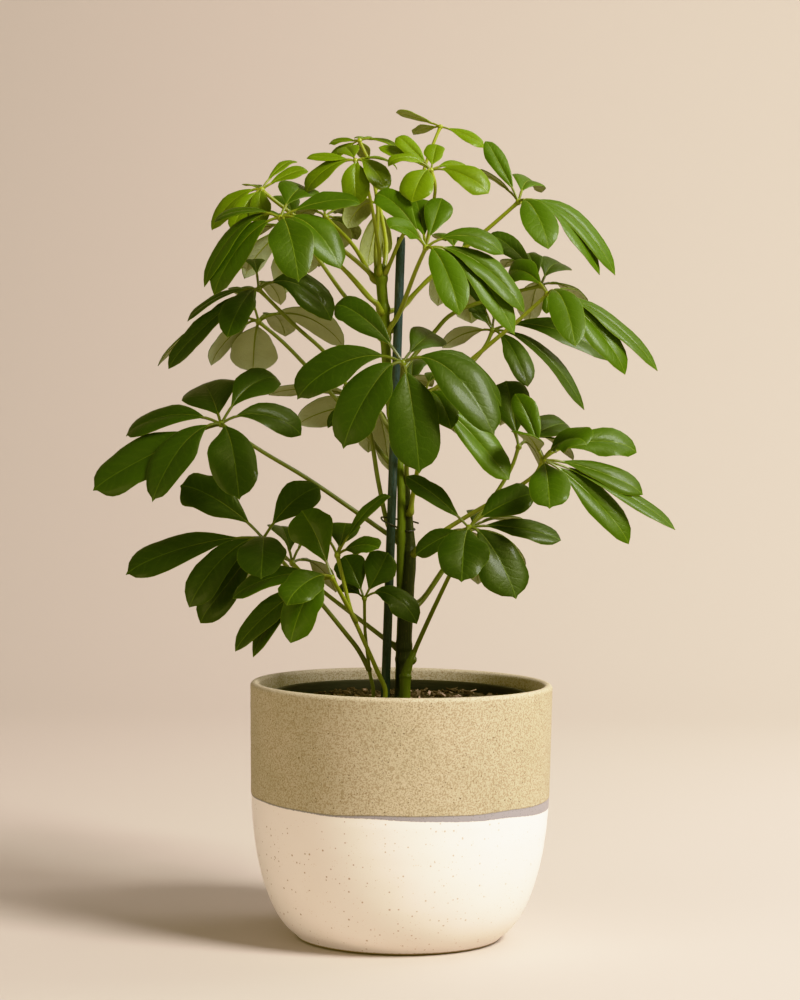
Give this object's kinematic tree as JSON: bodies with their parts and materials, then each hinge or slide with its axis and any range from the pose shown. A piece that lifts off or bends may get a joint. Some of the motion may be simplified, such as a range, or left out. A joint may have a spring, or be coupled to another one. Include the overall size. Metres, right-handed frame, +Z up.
{
  "type": "potted umbrella plant",
  "caption": "Small staked umbrella plant with palmate leaves on long stalks, in a plastic nursery pot that stands in a round two-tone stoneware planter.",
  "frame": {"origin": "middle of the planter's flat foot, on the surface that it stands on", "axes": "+Z up along the planter's axis; -Y towards the front, the side that the picture shows; +X to the right seen from the front"},
  "size_m": [0.3325, 0.2334, 0.4781],
  "materials": {
    "planter_stoneware": "matte",
    "nursery_pot_plastic": "satin",
    "potting_soil": "matte",
    "green_bark": "matte",
    "dyed_cane": "satin",
    "black_wire": "satin",
    "leaf_lime": "satin",
    "leaf_fresh": "satin",
    "leaf_dark": "gloss"
  },
  "bodies": {
    "root": {"planter": "planter_stoneware", "nursery_pot": "nursery_pot_plastic", "soil": "potting_soil", "trunk": "green_bark", "stake": "dyed_cane", "wire_tie": "black_wire", "leaf_crown_top": "leaf_lime", "leaf_crown_front": "leaf_lime", "leaf_upper_front": "leaf_fresh", "leaf_crown_right": "leaf_fresh", "leaf_right_back": "leaf_dark", "leaf_right_upper": "leaf_fresh", "leaf_right_inner": "leaf_dark", "leaf_front": "leaf_dark", "leaf_front_lower": "leaf_fresh", "leaf_middle_back": "leaf_dark", "leaf_crown_left": "leaf_fresh", "leaf_crown_left_back": "leaf_fresh", "leaf_crown_inner": "leaf_lime", "leaf_crown_upper": "leaf_lime", "leaf_crown_outer": "leaf_lime", "leaf_crown_behind": "leaf_fresh", "leaf_crown_centre": "leaf_lime", "leaf_left_upper": "leaf_dark", "leaf_left_back": "leaf_dark", "leaf_left_low": "leaf_dark", "shoot_left": "leaf_fresh", "shoot_thin": "leaf_dark", "leaf_base_back": "leaf_dark", "leaf_right_low": "leaf_fresh", "leaf_right_base": "leaf_dark", "leaf_right_hidden": "leaf_dark", "leaf_rear_upper": "leaf_fresh", "leaf_rear_left": "leaf_fresh", "leaf_rear_middle": "leaf_dark", "leaf_rear_low": "leaf_dark"}
  },
  "joints": []
}
